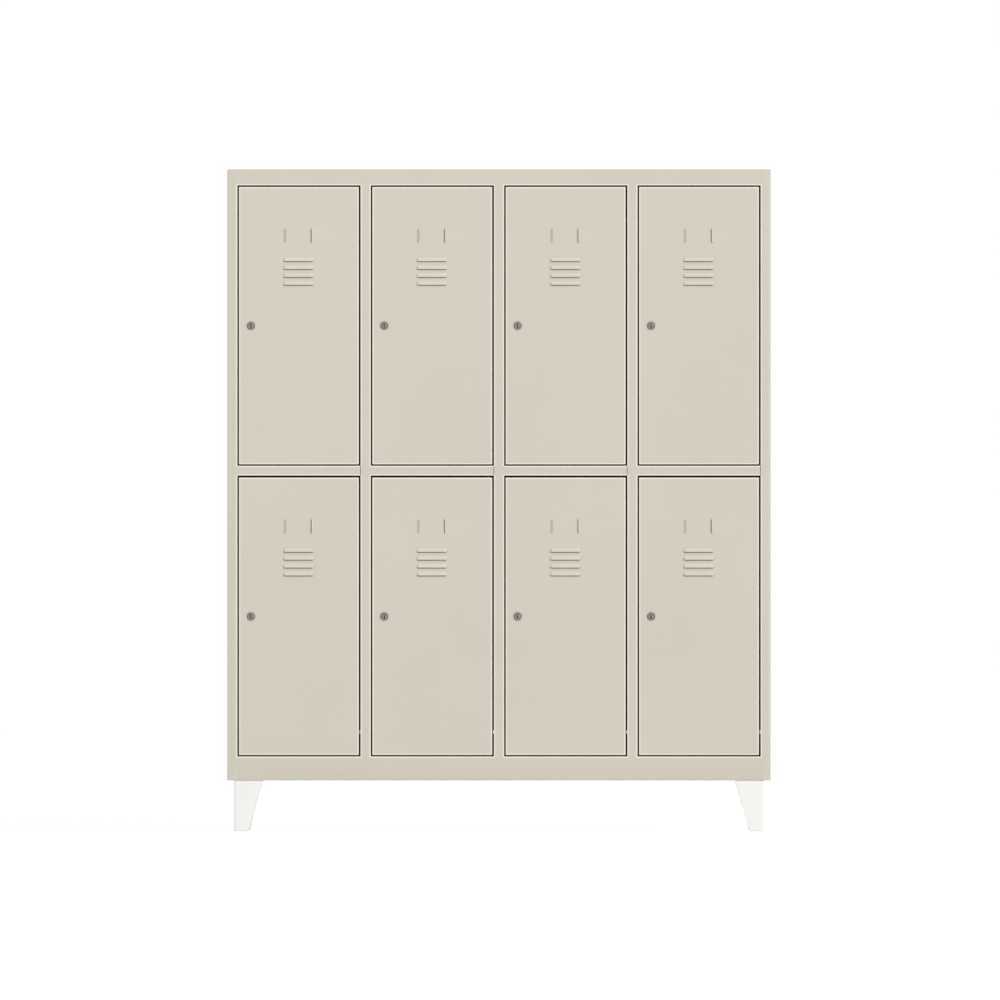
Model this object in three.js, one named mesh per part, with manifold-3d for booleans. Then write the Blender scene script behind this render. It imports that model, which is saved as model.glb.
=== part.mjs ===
// Steel locker cabinet: four columns of two stacked lockers on four tapered legs.
// Millimetres, +Z up, the doors face -Y, and the origin is on the floor under the middle of the cabinet.
import * as THREE from "three";
import { ConvexGeometry } from "three/addons/geometries/ConvexGeometry.js";
import { mergeVertices } from "three/addons/utils/BufferGeometryUtils.js";
import Module from "manifold-3d";

const wasm = await Module();
wasm.setup();

// ---------------------------------------------------------------- driving dimensions

const WIDTH = 1600;
const DEPTH = 500;
const BODY_HEIGHT = 1800;
const LEG_HEIGHT = 150;
const SHEET = 1; // thickness of the folded steel sheet

const COLUMNS = 4;
const STILE = 30; // face width of the two outer stiles
const MULLION = 31; // face width of the posts between columns
const BOTTOM_RAIL = 71; // face heights of the rails, from the bottom up
const LOWER_OPENING = 826.5;
const MID_RAIL = 29.5;
const HEADER = 48;
const FRAME_DEPTH = 24; // how far stiles, posts and rails are folded back
const HEM = 10; // short returns that stiffen a folded edge
const WELD_FLANGE = 15; // spot-weld flanges where one sheet meets another
const BASE_RETURN = 90; // underside returns that the legs bolt to
const SEAM = 0.5; // unwelded right-hand end of each shelf's front rail

const DOOR_HEIGHT = 819.1;
const DOOR_DEPTH = 20; // the folded pan of each door
const LOCK_SIDE_GAP = 2.6;
const HINGE_SIDE_GAP = 3.1;
const SILL_GAP = 2.8;

const STOP_SETBACK = 22.5; // door stop behind the front face, on the lock side
const STOP_WIDTH = 10;

const ROD_RADIUS = 3;
const ROD_HOLE_RADIUS = 3.6;
const ROD_FROM_EDGE = 14; // hinge axis from the door's hinge-side edge
const ROD_FROM_FACE = 8; // hinge axis behind the front face
const ROD_ABOVE_HEADER = 13;

const LOCK_FROM_EDGE = 36.9; // lock axis from the door's free edge
const LOCK_HOLE_RADIUS = 9.9;

const LOUVRES = 4;
const LOUVRE_PITCH = 23.2;
const LOUVRE_TOP = 220.4; // lip of the highest louvre below the door's top edge
const PRESSINGS_OFFSET = -1.5; // centre of the louvres and card lips from the door's centre line
const LOUVRE = { length: 88, height: 10.5, proud: 4, taper: 6 };

const CARD_TOP = 123.4; // top of the name-card lips below the door's top edge
const CARD_WIDTH = 79; // between the mouths of the two lips
const CARD_LIP = { length: 42, height: 8, proud: 2.4, taper: 3 };
const HOOD_WALL = 1.1; // metal left round the mouth of a louvre or lip

const RAIL_DROP = 70; // coat rail below the sheet above it
const RAIL_RADIUS = 9;
const RAIL_CLEAR = 0.3; // at each end

const LEG_INSET = 21; // legs stand in from the sides
const LEG_SETBACK = 1.5; // and from the front and back
const LEG_TOP = 82;
const LEG_FOOT = 41;
const LEG_SHEET = 2.5;

// ---------------------------------------------------------------- derived places

const OPENING = (WIDTH - 2 * STILE - (COLUMNS - 1) * MULLION) / COLUMNS;
const PITCH = OPENING + MULLION;
const DOOR_WIDTH = OPENING - LOCK_SIDE_GAP - HINGE_SIDE_GAP;
const RIGHT = WIDTH / 2;
const LEFT = -RIGHT;
const BACK = DEPTH / 2;
const FRONT = -BACK;
const BOTTOM = LEG_HEIGHT;
const TOP = BOTTOM + BODY_HEIGHT;
const FRAME_BACK = FRONT + FRAME_DEPTH;
const FLOOR = BOTTOM + BOTTOM_RAIL; // upper face of the base sheet
const SHELF_UNDER = FLOOR + LOWER_OPENING; // lower edge of the shelves' front rail
const SHELF_FLOOR = SHELF_UNDER + MID_RAIL; // upper face of the shelf sheets
const HEADER_UNDER = TOP - HEADER;
const UNDER_TOP = TOP - SHEET;
const BACK_FACE = BACK - SHEET; // inner face of the back panel
const SHELF_BACK = BACK_FACE - SHEET; // shelves and base reach back to the weld flanges
const TIERS = [
  { name: "upper", sill: SHELF_FLOOR, ceiling: UNDER_TOP },
  { name: "lower", sill: FLOOR, ceiling: SHELF_FLOOR - SHEET },
];
const openingLeft = (column) => LEFT + STILE + column * PITCH;
const rodX = (column) => openingLeft(column) + OPENING - HINGE_SIDE_GAP - ROD_FROM_EDGE;
const webFace = MULLION / 2 + SHEET / 2; // from a post's left edge to the right face of its web

// ---------------------------------------------------------------- materials

const paint = new THREE.MeshStandardMaterial({ color: 0xd5cec0, roughness: 0.45, metalness: 0 });
const legPaint = new THREE.MeshStandardMaterial({ color: 0xf3f2ee, roughness: 0.45, metalness: 0 });
const zinc = new THREE.MeshStandardMaterial({ color: 0xa9aaa8, roughness: 0.4, metalness: 0.9 });
const nickel = new THREE.MeshStandardMaterial({ color: 0x8e8f8c, roughness: 0.35, metalness: 0.9 });
const darkNickel = new THREE.MeshStandardMaterial({ color: 0xa6a7a4, roughness: 0.3, metalness: 0.9 });

// ---------------------------------------------------------------- solids

// A closed geometry as a manifold solid, with only its positions kept.
function solid(geometry) {
  const bare = geometry.clone();
  bare.deleteAttribute("normal");
  bare.deleteAttribute("uv");
  const merged = mergeVertices(bare, 1e-4);
  return new wasm.Manifold(
    new wasm.Mesh({
      numProp: 3,
      vertProperties: merged.getAttribute("position").array,
      triVerts: new Uint32Array(merged.index.array),
    }),
  );
}

// A manifold solid as a geometry that three.js draws.
function geometryOf(body) {
  const mesh = body.getMesh();
  const positions = new THREE.BufferAttribute(new Float32Array(mesh.vertProperties), 3);
  const geometry = new THREE.BufferGeometry().setAttribute("position", positions);
  geometry.setIndex(new THREE.BufferAttribute(new Uint32Array(mesh.triVerts), 1));
  geometry.computeVertexNormals();
  return geometry;
}

// A block between two corners, given in either order; its faces lie exactly on the coordinates.
function block(x0, x1, y0, y1, z0, z1) {
  const box = new THREE.BoxGeometry(1, 1, 1);
  const p = box.getAttribute("position");
  const pick = (side, a, b) => (side < 0 ? Math.min(a, b) : Math.max(a, b));
  for (let i = 0; i < p.count; i++) {
    p.setXYZ(i, pick(p.getX(i), x0, x1), pick(p.getY(i), y0, y1), pick(p.getZ(i), z0, z1));
  }
  return solid(box);
}

// The convex body round a list of [x, y, z] points.
const hull = (points) => solid(new ConvexGeometry(points.map((p) => new THREE.Vector3(...p))));

const join = (...bodies) => bodies.reduce((whole, body) => whole.add(body));
const cut = (body, ...tools) => tools.reduce((rest, tool) => rest.subtract(tool), body);

// Where the outline's two directions and the extrusion's own direction go, for a bar along each axis.
const BASES = {
  x: [[0, 1, 0], [0, 0, 1], [1, 0, 0]],
  y: [[0, 0, 1], [1, 0, 0], [0, 1, 0]],
  z: [[1, 0, 0], [0, 1, 0], [0, 0, 1]],
};

// A bar along an axis, from one coordinate to another. Its outline is given as [y, z] points for a bar
// along x, [z, x] for one along y and [x, y] for one along z.
function bar(axis, outline, from, to, hole = []) {
  const shape = new THREE.Shape(outline.map((p) => new THREE.Vector2(...p)));
  if (hole.length) {
    shape.holes.push(new THREE.Path(hole.map((p) => new THREE.Vector2(...p))));
  }
  const body = new THREE.ExtrudeGeometry(shape, { depth: to - from, bevelEnabled: false });
  body.translate(0, 0, from);
  body.applyMatrix4(new THREE.Matrix4().makeBasis(...BASES[axis].map((v) => new THREE.Vector3(...v))));
  return solid(body);
}

// The outline of a sheet bent at right angles along a path, with the metal on the left of the path.
function folded(path) {
  const normals = path.slice(1).map(([u, v], i) => {
    const [du, dv] = [u - path[i][0], v - path[i][1]];
    const length = Math.hypot(du, dv);
    return [-dv / length, du / length];
  });
  const inner = path.map(([u, v], i) => {
    const meeting = i > 0 && i < normals.length ? [normals[i - 1], normals[i]] : [normals[Math.max(0, i - 1)]];
    return meeting.reduce(([a, b], [nu, nv]) => [a + SHEET * nu, b + SHEET * nv], [u, v]);
  });
  return [...path, ...inner.reverse()];
}

// An upright round bar on the axis (x, y).
function upright(radius, x, y, z0, z1, sides = 16) {
  const rod = new THREE.CylinderGeometry(radius, radius, z1 - z0, sides);
  rod.rotateX(Math.PI / 2);
  rod.translate(x, y, (z0 + z1) / 2);
  return solid(rod);
}

// A round bar from y0 to y1 on the axis (x, z).
function across(radius, y0, y1, x = 0, z = 0, sides = 16) {
  const rod = new THREE.CylinderGeometry(radius, radius, y1 - y0, sides);
  rod.translate(x, (y0 + y1) / 2, z);
  return solid(rod);
}

function part(name, body, material) {
  const mesh = new THREE.Mesh(geometryOf(body), material);
  mesh.name = name;
  return mesh;
}

const group = new THREE.Group();

// ---------------------------------------------------------------- carcass

// A side sheet folds round the front into a stile, and has a weld flange at the back.
// side is -1 for the left panel and 1 for the right one.
function sidePanel(side) {
  const section = folded([
    [LEFT + WELD_FLANGE, BACK_FACE],
    [LEFT, BACK_FACE],
    [LEFT, FRONT],
    [LEFT + STILE, FRONT],
    [LEFT + STILE, FRAME_BACK],
    [LEFT + STILE - HEM, FRAME_BACK],
  ]);
  return bar("z", section.map(([x, y]) => [-side * x, y]), BOTTOM, UNDER_TOP);
}

// Door stops for both tiers, standing out to the right of a post or stile whose right edge is at x.
function doorStops(x) {
  const y = FRONT + STOP_SETBACK;
  const clear = 0.5;
  return [
    block(x - SHEET / 2, x + STOP_WIDTH, y, y + SHEET, FLOOR + clear, SHELF_UNDER - clear),
    block(x - SHEET / 2, x + STOP_WIDTH, y, y + SHEET, SHELF_FLOOR + clear, HEADER_UNDER - clear),
  ];
}

group.add(part("left_side_panel", join(sidePanel(-1), ...doorStops(LEFT + STILE)), paint));
group.add(part("right_side_panel", sidePanel(1), paint));
group.add(part("back_panel", block(LEFT, RIGHT, BACK_FACE, BACK, BOTTOM, UNDER_TOP), paint));

// The top sheet folds down into the header, which stands between the two side panels' stiles.
function topPanel() {
  const section = folded([
    [BACK, TOP],
    [FRONT, TOP],
    [FRONT, HEADER_UNDER],
    [FRAME_BACK, HEADER_UNDER],
    [FRAME_BACK, HEADER_UNDER + HEM],
  ]);
  const notches = [LEFT, RIGHT].map((x) =>
    block(x * 2, x - Math.sign(x) * STILE, FRONT - 1, FRAME_BACK + 1, HEADER_UNDER - 1, UNDER_TOP),
  );
  const rods = Array.from({ length: COLUMNS }, (_, column) =>
    upright(ROD_HOLE_RADIUS, rodX(column), FRONT + ROD_FROM_FACE, HEADER_UNDER - 1, HEADER_UNDER + 5),
  );
  return cut(bar("x", section, LEFT, RIGHT), ...notches, ...rods);
}
group.add(part("top_panel", topPanel(), paint));

// The base sheet is the lower lockers' floor; it folds down front and back and returns under the body.
function basePanel() {
  const section = folded([
    [SHELF_BACK - BASE_RETURN, BOTTOM],
    [SHELF_BACK, BOTTOM],
    [SHELF_BACK, FLOOR],
    [FRONT, FLOOR],
    [FRONT, BOTTOM],
    [FRONT + BASE_RETURN, BOTTOM],
  ]);
  const notches = [LEFT, RIGHT].map((x) =>
    block(x * 2, x - Math.sign(x) * STILE, FRONT - 1, FRAME_BACK, BOTTOM - 1, FLOOR + 1),
  );
  const rods = Array.from({ length: COLUMNS }, (_, column) =>
    upright(ROD_HOLE_RADIUS, rodX(column), FRONT + ROD_FROM_FACE, FLOOR - 5, FLOOR + 1),
  );
  return cut(bar("x", section, LEFT + SHEET, RIGHT - SHEET), ...notches, ...rods);
}
group.add(part("base_panel", basePanel(), paint));

// A partition: a hollow post at the front with a web and a weld flange behind it.
// x = 0 is the post's left edge.
function divider() {
  const web = webFace - SHEET;
  const outline = [
    [0, FRONT],
    [MULLION, FRONT],
    [MULLION, FRAME_BACK],
    [webFace, FRAME_BACK],
    [webFace, BACK_FACE - SHEET],
    [web + WELD_FLANGE, BACK_FACE - SHEET],
    [web + WELD_FLANGE, BACK_FACE],
    [web, BACK_FACE],
    [web, FRAME_BACK],
    [0, FRAME_BACK],
  ];
  const hollow = [
    [SHEET, FRONT + SHEET],
    [MULLION - SHEET, FRONT + SHEET],
    [MULLION - SHEET, FRAME_BACK - SHEET],
    [SHEET, FRAME_BACK - SHEET],
  ];
  const underHeader = block(-1, MULLION + 1, FRONT - 1, FRAME_BACK + 0.5, HEADER_UNDER, TOP);
  return join(cut(bar("z", outline, FLOOR, UNDER_TOP, hollow), underHeader), ...doorStops(MULLION));
}
for (let column = 1; column < COLUMNS; column++) {
  const mesh = part(`divider_${column}`, divider(), paint);
  mesh.position.x = openingLeft(column) - MULLION;
  group.add(mesh);
}

// The inside of a column, from one web or side sheet to the next.
const insideLeft = (column) => openingLeft(column) - (column === 0 ? STILE - SHEET : MULLION - webFace);
const insideRight = (column) =>
  openingLeft(column) + OPENING + (column === COLUMNS - 1 ? STILE : webFace) - SHEET;

// The shelf between the tiers, with a folded front rail and a flange at the back.
function shelf(column) {
  const rail = SHELF_FLOOR - MID_RAIL;
  const section = folded([
    [SHELF_BACK, SHELF_FLOOR - WELD_FLANGE],
    [SHELF_BACK, SHELF_FLOOR],
    [FRONT, SHELF_FLOOR],
    [FRONT, rail],
    [FRAME_BACK, rail],
    [FRAME_BACK, rail + HEM],
  ]);
  const [left, right] = [openingLeft(column), openingLeft(column) + OPENING - SEAM];
  return cut(
    bar("x", section, insideLeft(column), insideRight(column)),
    block(left - STILE, left, FRONT - 1, FRAME_BACK, rail - 1, SHELF_FLOOR + 1),
    block(right, right + MULLION, FRONT - 1, FRAME_BACK, rail - 1, SHELF_FLOOR + 1),
    upright(ROD_HOLE_RADIUS, rodX(column), FRONT + ROD_FROM_FACE, rail - 1, SHELF_FLOOR + 1),
  );
}
for (let column = 0; column < COLUMNS; column++) {
  group.add(part(`shelf_${column + 1}`, shelf(column), paint));
}

// Each column's hinge rod stands on the base's return and runs up through both doors.
const rodLength = HEADER_UNDER + ROD_ABOVE_HEADER - BOTTOM - SHEET;
for (let column = 0; column < COLUMNS; column++) {
  const mesh = part(`hinge_rod_${column + 1}`, upright(ROD_RADIUS, 0, 0, 0, rodLength), zinc);
  mesh.position.set(rodX(column), FRONT + ROD_FROM_FACE, BOTTOM + SHEET);
  group.add(mesh);
}

// ---------------------------------------------------------------- legs

// A folded corner leg: two tapered faces, a bolting plate on top and a foot plate.
// Its corner is at x = y = 0, and it reaches inwards along the signs of x and y.
function leg(x, y) {
  const outline = [[0, 0], [LEG_FOOT, 0], [LEG_TOP, LEG_HEIGHT], [0, LEG_HEIGHT]];
  const corners = outline.flatMap(([along, z]) => [[along, 0, z], [along, LEG_SHEET, z]]);
  return join(
    hull(corners.map(([along, into, z]) => [x * along, y * into, z])),
    hull(corners.map(([along, into, z]) => [x * into, y * along, z])),
    block(0, x * LEG_TOP, 0, y * LEG_TOP, LEG_HEIGHT - LEG_SHEET, LEG_HEIGHT),
    block(0, x * LEG_FOOT, 0, y * LEG_FOOT, 0, LEG_SHEET),
  );
}
for (const [end, y] of [["front", -1], ["rear", 1]]) {
  for (const [hand, x] of [["left", -1], ["right", 1]]) {
    const mesh = part(`leg_${end}_${hand}`, leg(-x, -y), legPaint);
    mesh.position.set(x * (RIGHT - LEG_INSET), y * (BACK - LEG_SETBACK), 0);
    group.add(mesh);
  }
}

// ---------------------------------------------------------------- coat rails

// A tube with a round end flange, turned about its own axis and laid along X.
function coatRail(length) {
  const bore = RAIL_RADIUS - 1.2;
  const flange = RAIL_RADIUS + 7;
  const half = length / 2;
  const profile = [
    [bore, -half],
    [flange, -half],
    [flange, 2 - half],
    [RAIL_RADIUS, 2 - half],
    [RAIL_RADIUS, half - 2],
    [flange, half - 2],
    [flange, half],
    [bore, half],
    [bore, -half],
  ].map(([r, h]) => new THREE.Vector2(r, h));
  return solid(new THREE.LatheGeometry(profile, 14).rotateZ(-Math.PI / 2));
}

// ---------------------------------------------------------------- doors

// A pressed hood over a slit in the door's face, turned by angle and moved to (x, z). Before it is
// turned its mouth is on z = 0 and faces -Z. The hood is raised on the sheet and then hollowed.
function hood({ length, height, proud, taper }, x, z, angle = 0) {
  const place = new THREE.Matrix4().makeRotationY(angle).setPosition(x, 0, z);
  const wedge = (wall, back, drop) => {
    const base = length / 2 - wall;
    const crest = base - taper;
    const points = [];
    for (const side of [-1, 1]) {
      points.push([side * base, 0, -drop], [side * base, back, -drop]);
      points.push([side * crest, 0, height - wall], [side * crest, back, height - wall]);
      points.push([side * crest, wall - proud, -drop]);
    }
    return hull(points.map((p) => new THREE.Vector3(...p).applyMatrix4(place)));
  };
  return { raised: wedge(0, SHEET / 2, 0), hollow: wedge(HOOD_WALL, SHEET + 1, 1) };
}

// One door: a folded pan with louvres, name-card lips, a lock hole and holes for the hinge rod.
// Its lower left front corner is the origin.
function door() {
  const w = DOOR_WIDTH;
  const h = DOOR_HEIGHT;
  const rear = DOOR_DEPTH;
  const pan = cut(
    block(0, w, 0, rear, 0, h),
    block(SHEET, w - SHEET, SHEET, rear - SHEET, SHEET, h - SHEET),
    block(HEM, w - HEM, rear / 2, rear + 1, HEM, h - HEM),
  );
  const middle = w / 2 + PRESSINGS_OFFSET;
  const cardHeight = h - CARD_TOP - CARD_LIP.length / 2;
  const hoods = [
    hood(CARD_LIP, middle - CARD_WIDTH / 2, cardHeight, -Math.PI / 2),
    hood(CARD_LIP, middle + CARD_WIDTH / 2, cardHeight, Math.PI / 2),
  ];
  for (let i = 0; i < LOUVRES; i++) {
    hoods.push(hood(LOUVRE, middle, h - LOUVRE_TOP - i * LOUVRE_PITCH));
  }
  const lockHole = across(LOCK_HOLE_RADIUS, -1, SHEET + 1, LOCK_FROM_EDGE, h / 2);
  const rodHole = upright(ROD_HOLE_RADIUS, w - ROD_FROM_EDGE, ROD_FROM_FACE, -1, h + 1);
  const raised = hoods.map((one) => one.raised);
  const hollows = hoods.map((one) => one.hollow);
  return cut(join(pan, ...raised), ...hollows, lockHole, rodHole);
}

// ---------------------------------------------------------------- cam locks

const FACE_RADIUS = 11;
const FACE_PROUD = 2.2;
const BARREL_RADIUS = 9.5;
const BARREL_END = 22;
const NUT_RADIUS = 13;
const NUT_BACK = 4.5;
const BORE_RADIUS = 6.6;
const PLUG_RADIUS = 6.2;
const PLUG_END = 25;
const TAIL = 6; // square that carries the cam
const CAM_FRONT = 25.4;
const CAM_SHEET = 2.5;
const CAM_LENGTH = 37;
const CAM_HUB = 9;
const CAM_TIP = 6;
const KEYWAY = { width: 3.4, height: 9.4, depth: 6 };

// A stationary housing with its clamp nut; y = 0 is the door's front face.
function lockHousing() {
  const profile = [
    [BORE_RADIUS, -FACE_PROUD],
    [FACE_RADIUS - 0.8, -FACE_PROUD],
    [FACE_RADIUS, 0.8 - FACE_PROUD],
    [FACE_RADIUS, 0],
    [BARREL_RADIUS, 0],
    [BARREL_RADIUS, BARREL_END],
    [BORE_RADIUS, BARREL_END],
    [BORE_RADIUS, -FACE_PROUD],
  ].map(([r, y]) => new THREE.Vector2(r, y));
  const nut = cut(across(NUT_RADIUS, SHEET, NUT_BACK, 0, 0, 6), across(BARREL_RADIUS - 1, 0, NUT_BACK + 1));
  return join(solid(new THREE.LatheGeometry(profile, 16)), nut);
}

function lockPlug() {
  const face = 0.5 - FACE_PROUD;
  const body = join(
    across(PLUG_RADIUS, face, PLUG_END),
    block(-TAIL / 2, TAIL / 2, PLUG_END - 1, CAM_FRONT + CAM_SHEET + 1, -TAIL / 2, TAIL / 2),
  );
  const { width, height, depth } = KEYWAY;
  return cut(body, block(-width / 2, width / 2, face - 1, face + depth, -height / 2, height / 2));
}

// The cam hangs down when the door is unlocked, and turns left behind the door stop to lock it.
function lockCam() {
  const reach = CAM_LENGTH - CAM_TIP;
  const steps = 8;
  const half = (radius, z, from) =>
    Array.from({ length: steps + 1 }, (_, i) => {
      const angle = from + (Math.PI * i) / steps;
      return [z + radius * Math.sin(angle), radius * Math.cos(angle)];
    });
  const outline = [...half(CAM_HUB, 0, 0), ...half(CAM_TIP, -reach, Math.PI)];
  const hole = TAIL / 2 + 0.3;
  return cut(
    bar("y", outline, CAM_FRONT, CAM_FRONT + CAM_SHEET),
    block(-hole, hole, CAM_FRONT - 1, CAM_FRONT + CAM_SHEET + 1, -hole, hole),
  );
}

// ---------------------------------------------------------------- lockers

for (const tier of TIERS) {
  for (let column = 0; column < COLUMNS; column++) {
    const label = `${tier.name}_${column + 1}`;

    const leaf = new THREE.Group();
    leaf.position.set(openingLeft(column) + LOCK_SIDE_GAP, FRONT, tier.sill + SILL_GAP);
    leaf.add(part(`door_${label}`, door(), paint));
    group.add(leaf);

    const lock = new THREE.Group();
    lock.position.set(LOCK_FROM_EDGE, 0, DOOR_HEIGHT / 2);
    lock.add(part(`lock_housing_${label}`, lockHousing(), nickel));
    lock.add(part(`lock_plug_${label}`, lockPlug(), darkNickel));
    lock.add(part(`lock_cam_${label}`, lockCam(), zinc));
    leaf.add(lock);

    const [left, right] = [insideLeft(column), insideRight(column)];
    const rail = part(`coat_rail_${label}`, coatRail(right - left - 2 * RAIL_CLEAR), zinc);
    rail.position.set((left + right) / 2, 0, tier.ceiling - RAIL_DROP);
    group.add(rail);
  }
}

export default group;
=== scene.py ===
import math

import bmesh
import bpy
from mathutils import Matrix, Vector

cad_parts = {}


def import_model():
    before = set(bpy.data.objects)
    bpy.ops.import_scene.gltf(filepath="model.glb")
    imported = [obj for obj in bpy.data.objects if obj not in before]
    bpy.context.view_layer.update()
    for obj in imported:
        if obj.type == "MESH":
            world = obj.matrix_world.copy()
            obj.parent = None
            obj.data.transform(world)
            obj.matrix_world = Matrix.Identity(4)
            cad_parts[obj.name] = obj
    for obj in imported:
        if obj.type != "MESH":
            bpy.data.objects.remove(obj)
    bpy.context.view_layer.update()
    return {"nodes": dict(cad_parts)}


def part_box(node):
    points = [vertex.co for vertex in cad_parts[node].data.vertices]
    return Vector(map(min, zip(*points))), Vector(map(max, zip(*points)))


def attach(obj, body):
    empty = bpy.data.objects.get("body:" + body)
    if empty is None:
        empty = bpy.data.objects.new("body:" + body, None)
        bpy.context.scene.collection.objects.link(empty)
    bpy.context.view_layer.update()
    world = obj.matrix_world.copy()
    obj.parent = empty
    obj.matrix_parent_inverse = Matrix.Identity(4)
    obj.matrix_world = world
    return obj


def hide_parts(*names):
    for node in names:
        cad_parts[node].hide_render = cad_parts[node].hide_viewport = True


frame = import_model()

MM = 0.001
COLUMNS = (1, 2, 3, 4)
TIERS = ("upper", "lower")
CABINET = "cabinet"

# ------------------------------------------------------------------ sizes, in millimetres

SHEET = 1.0
BEND = 1.7  # outside radius of a folded edge
# RIM and FADE place a painted highlight: lighter paint on the flat beside each folded edge
RIM, FADE = 1.3, 3.2  # lighter paint reaches RIM onto the flat beside a folded edge, and ends at FADE
STILE = 30.0
FRAME_DEPTH = 24.0
HEM = 10.0
WELD = 15.0
RETURN = 90.0
SEAM = 0.5


def box(node):
    """A CAD node's lowest and highest corner, in millimetres, rounded to a micrometre."""
    low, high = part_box(node)
    return [round(v / MM, 3) for v in low], [round(v / MM, 3) for v in high]


(LEFT, _, BOTTOM), (_, _, UNDER_TOP) = box("left_side_panel")
(_, FRONT, HEADER_UNDER), (RIGHT, BACK, TOP) = box("top_panel")
FLOOR = box("base_panel")[1][2]
SHELF_UNDER, SHELF_FLOOR = box("shelf_1")[0][2], box("shelf_1")[1][2]
FRAME_BACK = FRONT + FRAME_DEPTH
BACK_FACE = BACK - SHEET
SHELF_BACK = BACK_FACE - SHEET
MULLION = 31.0
POST_LEFT = [box(f"divider_{i}")[0][0] for i in (1, 2, 3)]
OPEN_LEFT = [LEFT + STILE] + [x + MULLION for x in POST_LEFT]
OPEN_RIGHT = POST_LEFT + [RIGHT - STILE]


# ------------------------------------------------------------------ mesh building


class Shape:
    """Vertices, faces and the rim value of each vertex (its share of painted edge highlight), in
    millimetres in the cabinet's frame.
    """

    def __init__(self):
        self.verts, self.faces, self.rims = [], [], []

    def vert(self, point, rim=0.0):
        self.verts.append(tuple(point))
        self.rims.append(rim)
        return len(self.verts) - 1

    def loop(self, points, rim=0.0):
        return [self.vert(p, rim) for p in points]

    def bridge(self, a, b, closed=True):
        n = len(a)
        for i in range(n if closed else n - 1):
            j = (i + 1) % n
            self.faces.append((a[i], a[j], b[j], b[i]))

    def loft(self, loops, rims=None):
        """A closed body through loops of equally many points, with a face on each end."""
        rings = [self.loop(points, rims[k] if rims else 0.0) for k, points in enumerate(loops)]
        for a, b in zip(rings, rings[1:]):
            self.bridge(a, b)
        self.faces.append(tuple(reversed(rings[0])))
        self.faces.append(tuple(rings[-1]))

    def sheet(self, rings):
        """A closed sheet through rings of (near, far) vertex lists, one list for each of its faces."""
        for (a0, b0), (a1, b1) in zip(rings, rings[1:]):
            self.bridge(a0, a1, closed=False)
            self.bridge(b1, b0, closed=False)
            self.faces.append((a0[0], a1[0], b1[0], b0[0]))
            self.faces.append((a1[-1], a0[-1], b0[-1], b1[-1]))
        self.bridge(rings[0][1], rings[0][0], closed=False)
        self.bridge(rings[-1][0], rings[-1][1], closed=False)

    def strip(self, faces, place, stations):
        """A sheet whose two faces are lists of (u, v, rim), swept through (distance, rim) stations."""
        rings = []
        for along, share in stations:
            lists = [[self.vert(place(u, v, along), rim * share) for u, v, rim in face] for face in faces]
            rings.append(lists)
        self.sheet(rings)

    def ring(self, profile, place, count=48):
        """A body turned from a closed profile of (radius, distance) points, open along its middle."""
        loops = [self.loop(circle(r, count, lambda u, v, d=d: place(u, v, d))) for r, d in profile]
        for a, b in zip(loops, loops[1:] + loops[:1]):
            self.bridge(a, b)

    def piece(self, name, body, material, stands_for=(), outward=None, smooth=38.0):
        """The object, riding on its body. outward is a direction that the first face must look along."""
        mesh = bpy.data.meshes.new(f"{name}_mesh")
        mesh.from_pydata([Vector(v) * MM for v in self.verts], [], self.faces)
        bm = bmesh.new()
        bm.from_mesh(mesh)
        bmesh.ops.recalc_face_normals(bm, faces=bm.faces)
        bm.faces.ensure_lookup_table()
        if outward is not None and bm.faces[0].normal.dot(Vector(outward)) < 0:
            bmesh.ops.reverse_faces(bm, faces=bm.faces)
        for face in bm.faces:
            face.smooth = True
        bm.to_mesh(mesh)
        bm.free()
        mesh.set_sharp_from_angle(angle=math.radians(smooth))
        rim = mesh.attributes.new("rim", "FLOAT", "POINT")
        rim.data.foreach_set("value", self.rims)
        obj = bpy.data.objects.new(f"{name}_shape" if name in stands_for else name, mesh)
        bpy.context.scene.collection.objects.link(obj)
        mesh.materials.append(material)
        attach(obj, body)
        if stands_for:
            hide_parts(*stands_for)
        return obj


def fold(path, edges=(), thickness=SHEET, radius=BEND, steps=4):
    """Both faces of a sheet bent at right angles along a path, with its metal on the path's left.

    Each face is a list of (u, v, rim). The corners named in edges carry the lighter paint of a rim, a
    painted highlight.
    """
    count = len(path)
    way = [(Vector(b) - Vector(a)).normalized() for a, b in zip(path, path[1:])]
    left = [Vector((-d.y, d.x)) for d in way]
    near, far = [], []

    def put(a, b, rim):
        near.append((a.x, a.y, rim))
        far.append((b.x, b.y, rim))

    for i, point in enumerate(path):
        p = Vector(point)
        if i in (0, count - 1):
            n = left[0] if i == 0 else left[-1]
            put(p, p + n * thickness, 0.0)
            continue
        n0, n1 = left[i - 1], left[i]
        is_left = way[i - 1].cross(way[i]) > 0
        inner = radius - thickness
        sign, r_near, r_far = (-1, radius, inner) if is_left else (1, inner, radius)
        centre = p - sign * r_near * (n0 + n1)
        rim = 1.0 if i in edges else 0.0
        arcs = []
        for k in range(steps + 1):
            a = math.pi / 2 * k / steps
            out = sign * (n0 * math.cos(a) + n1 * math.sin(a))
            arcs.append((centre + out * r_near, centre + out * r_far))
        if rim:
            for reach, share in ((FADE, 0.0), (RIM, 1.0)):
                step = way[i - 1] * reach
                put(arcs[0][0] - step, arcs[0][1] - step, share)
        for a, b in arcs:
            put(a, b, rim)
        if rim:
            for reach, share in ((RIM, 1.0), (FADE, 0.0)):
                step = way[i] * reach
                put(arcs[-1][0] + step, arcs[-1][1] + step, share)
    return near, far


def along_x(u, v, x):
    return (x, u, v)


def along_z(u, v, z):
    return (u, v, z)


def circle(radius, count, place):
    """Points round a circle; place maps (u, v) to a point."""
    angles = [2 * math.pi * k / count for k in range(count)]
    return [place(radius * math.cos(a), radius * math.sin(a)) for a in angles]


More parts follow.
